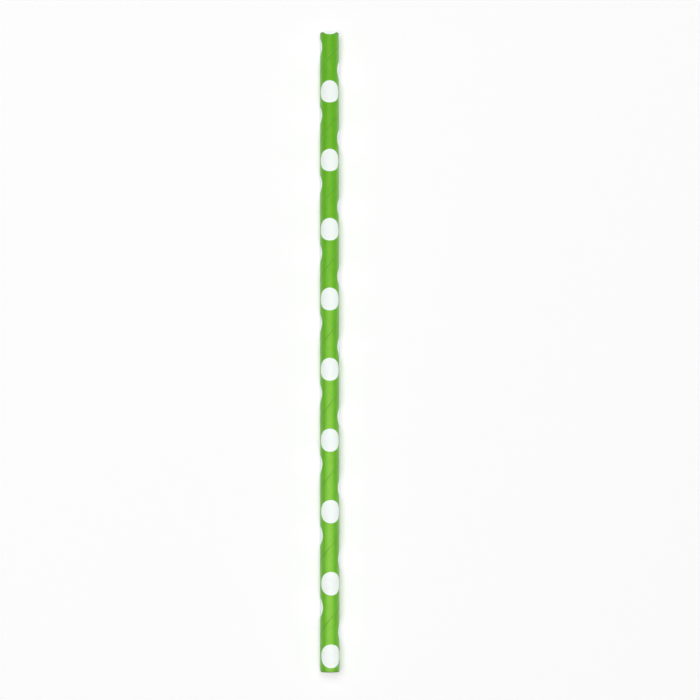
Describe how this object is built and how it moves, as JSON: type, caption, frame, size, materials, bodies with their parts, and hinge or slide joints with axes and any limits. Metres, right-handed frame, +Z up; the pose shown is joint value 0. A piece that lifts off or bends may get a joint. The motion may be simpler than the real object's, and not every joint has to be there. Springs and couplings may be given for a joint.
{
  "type": "paper drinking straw",
  "caption": "Straight spiral-wound paper tube with square cut ends, green print with large white dots, for drinking.",
  "frame": {"origin": "centre of the underside of the straw as it lies on a table", "axes": "+Z up, +Y along the bore axis to the end that is at the top of the picture, +X to the right in the picture"},
  "size_m": [0.006, 0.197, 0.0059],
  "materials": {
    "printed_paper": "satin"
  },
  "bodies": {
    "root": {"straw": "printed_paper"}
  },
  "joints": []
}
